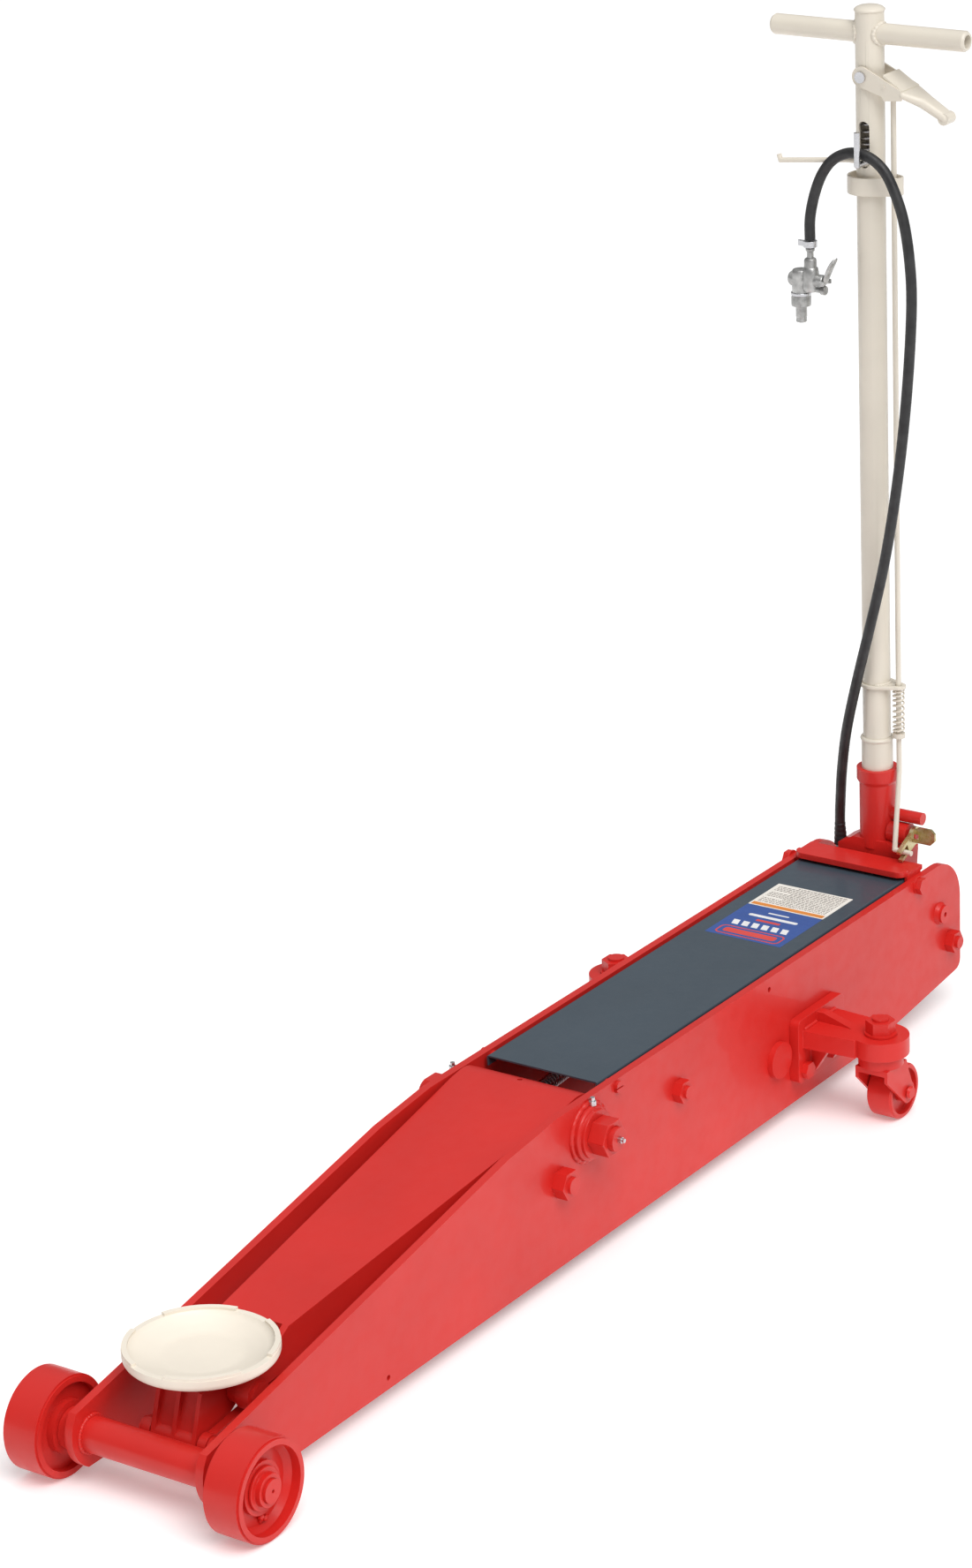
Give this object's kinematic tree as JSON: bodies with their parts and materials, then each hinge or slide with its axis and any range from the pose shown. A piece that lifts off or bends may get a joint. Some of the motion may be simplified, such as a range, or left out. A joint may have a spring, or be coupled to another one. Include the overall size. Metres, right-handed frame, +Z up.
{
  "type": "long-chassis air hydraulic service jack",
  "caption": "Long low floor jack: lift arm with round saddle, two front wheels, rear casters, upright T-handle with hand release and hooked air hose.",
  "frame": {"origin": "on the floor, under the middle of the overall length and width", "axes": "+X from the saddle end towards the handle end, the longest extent; +Y to the operator's right; +Z up"},
  "size_m": [1.518, 0.426, 1.221],
  "materials": {
    "red_paint": "glossy red enamel, lightly orange-peeled",
    "cream_paint": "satin cream enamel",
    "saddle_paint": "off-white satin enamel over cast iron",
    "slate_paint": "slate blue-grey powder coat",
    "bright_steel": "turned and ground steel",
    "ram_chrome": "hard chrome",
    "valve_casting": "sand-cast aluminium, dull",
    "yellow_zinc": "yellow passivated zinc",
    "hose_rubber": "matte black rubber"
  },
  "bodies": {
    "chassis": {"left_side_plate": "red_paint", "right_side_plate": "red_paint", "front_axle_tube": "red_paint", "front_axle": "red_paint", "front_wheel_washers": "red_paint", "rear_bridge": "red_paint", "top_cover": "slate_paint", "cover_screws": "red_paint", "arm_pivot_shaft": "red_paint", "pivot_bosses": "red_paint", "pivot_nuts": "red_paint", "grease_nipples": "bright_steel", "rod_anchor_bolt": "red_paint", "frame_tie_bolts": "red_paint", "handle_pivot_shaft": "red_paint", "reservoir_tube": "red_paint", "hydraulic_cylinder": "bright_steel", "pump_block": "red_paint", "air_motor": "valve_casting", "return_springs": "bright_steel", "left_caster_bracket": "red_paint", "right_caster_bracket": "red_paint", "caster_bracket_bolts": "red_paint", "hose_gland": "bright_steel"},
    "lift_arm": {"lift_arm": "red_paint", "arm_hub": "red_paint", "ram_roller": "bright_steel", "saddle_pin": "red_paint"},
    "radius_rods": {"left_radius_rod": "red_paint", "right_radius_rod": "red_paint"},
    "yoke": {"saddle_yoke": "red_paint", "yoke_pin": "red_paint"},
    "saddle": {"saddle": "saddle_paint"},
    "ram": {"ram": "ram_chrome"},
    "left_front_wheel": {"left_front_wheel": "red_paint"},
    "right_front_wheel": {"right_front_wheel": "red_paint"},
    "left_caster": {"left_caster_fork": "red_paint", "left_caster_fasteners": "red_paint"},
    "right_caster": {"right_caster_fork": "red_paint", "right_caster_fasteners": "red_paint"},
    "left_caster_wheel": {"left_caster_wheel": "red_paint"},
    "right_caster_wheel": {"right_caster_wheel": "red_paint"},
    "plunger": {"pump_plunger": "ram_chrome"},
    "handle": {"handle_socket": "red_paint", "pump_roller": "bright_steel", "handle_tube": "cream_paint", "grip_bar": "cream_paint", "rod_guides": "cream_paint", "hose_hook": "bright_steel", "release_valve": "red_paint", "grip_pivot_bolt": "bright_steel", "air_hose": "hose_rubber", "air_valve": "valve_casting", "lock_spring": "bright_steel"},
    "release_grip": {"release_grip": "cream_paint"},
    "release_rod": {"release_rod": "cream_paint", "release_spring": "bright_steel"},
    "release_cam": {"release_cam": "yellow_zinc"},
    "lock_rod": {"lock_rod": "cream_paint"},
    "air_valve_lever": {"air_valve_lever": "valve_casting"}
  },
  "joints": [
    {"name": "arm_lift", "type": "hinge", "parent": "chassis", "child": "lift_arm", "pos_m": [-0.055, 0, 0.156], "axis": [0, 1, 0], "range_deg": [0, 50]},
    {"name": "radius_rod_swing", "type": "hinge", "parent": "chassis", "child": "radius_rods", "pos_m": [-0.11, 0, 0.119], "axis": [0, 1, 0], "range_deg": [0, 50]},
    {"name": "yoke_level", "type": "hinge", "parent": "lift_arm", "child": "yoke", "pos_m": [-0.606, 0, 0.088], "axis": [0, 1, 0], "range_deg": [-50, 0]},
    {"name": "saddle_spin", "type": "hinge", "parent": "yoke", "child": "saddle", "pos_m": [-0.6193, 0, 0.11], "axis": [0, 0, 1], "continuous": true},
    {"name": "ram_slide", "type": "slide", "parent": "chassis", "child": "ram", "axis": [-1, 0, 0], "range_m": [0, 0.0592]},
    {"name": "left_front_wheel_roll", "type": "hinge", "parent": "chassis", "child": "left_front_wheel", "pos_m": [-0.705, -0.1255, 0.054], "axis": [0, 1, 0], "continuous": true},
    {"name": "right_front_wheel_roll", "type": "hinge", "parent": "chassis", "child": "right_front_wheel", "pos_m": [-0.705, 0.1255, 0.054], "axis": [0, 1, 0], "continuous": true},
    {"name": "left_caster_swivel", "type": "hinge", "parent": "chassis", "child": "left_caster", "pos_m": [0.407, -0.18, 0.1], "axis": [0, 0, 1], "continuous": true},
    {"name": "right_caster_swivel", "type": "hinge", "parent": "chassis", "child": "right_caster", "pos_m": [0.407, 0.18, 0.1], "axis": [0, 0, 1], "continuous": true},
    {"name": "left_caster_roll", "type": "hinge", "parent": "left_caster", "child": "left_caster_wheel", "pos_m": [0.433, -0.18, 0.033], "axis": [0, 1, 0], "continuous": true},
    {"name": "right_caster_roll", "type": "hinge", "parent": "right_caster", "child": "right_caster_wheel", "pos_m": [0.433, 0.18, 0.033], "axis": [0, 1, 0], "continuous": true},
    {"name": "handle_tilt", "type": "hinge", "parent": "chassis", "child": "handle", "pos_m": [0.709, 0, 0.132], "axis": [0, 1, 0], "range_deg": [0, 70]},
    {"name": "plunger_slide", "type": "slide", "parent": "chassis", "child": "plunger", "axis": [-1, 0, 0], "range_m": [0, 0.0346]},
    {"name": "grip_squeeze", "type": "hinge", "parent": "handle", "child": "release_grip", "pos_m": [0.7136, 0, 1.143], "axis": [-1, 0, 0], "range_deg": [0, 25], "stiffness_Nm_per_rad": 8, "springref_deg": -8.59},
    {"name": "release_rod_lift", "type": "slide", "parent": "handle", "child": "release_rod", "axis": [0, 0, 1], "range_m": [0, 0.0135], "deforming": ["release_spring"]},
    {"name": "cam_turn", "type": "hinge", "parent": "handle", "child": "release_cam", "pos_m": [0.71, -0.052, 0.226], "axis": [0, 1, 0], "range_deg": [0, 26]},
    {"name": "lock_rod_lift", "type": "slide", "parent": "handle", "child": "lock_rod", "axis": [0, 0, 1], "range_m": [0, 0.025], "stiffness_N_per_m": 900, "springref_m": -0.02, "deforming": ["lock_spring"]},
    {"name": "air_valve_press", "type": "hinge", "parent": "handle", "child": "air_valve_lever", "pos_m": [0.681, 0.0425, 0.902], "axis": [-1, 0, 0], "range_deg": [0, 14], "stiffness_Nm_per_rad": 0.4, "springref_deg": -11.46}
  ],
  "couplings": [
    {"joint": "radius_rod_swing", "follows": "arm_lift", "ratio": 1},
    {"joint": "yoke_level", "follows": "arm_lift", "ratio": -1},
    {"joint": "ram_slide", "follows": "arm_lift", "m_per_rad": 0.0678},
    {"joint": "plunger_slide", "follows": "handle_tilt", "m_per_rad": 0.028169},
    {"joint": "release_rod_lift", "follows": "grip_squeeze", "m_per_rad": 0.0291},
    {"joint": "cam_turn", "follows": "grip_squeeze", "ratio": 0.9838}
  ]
}
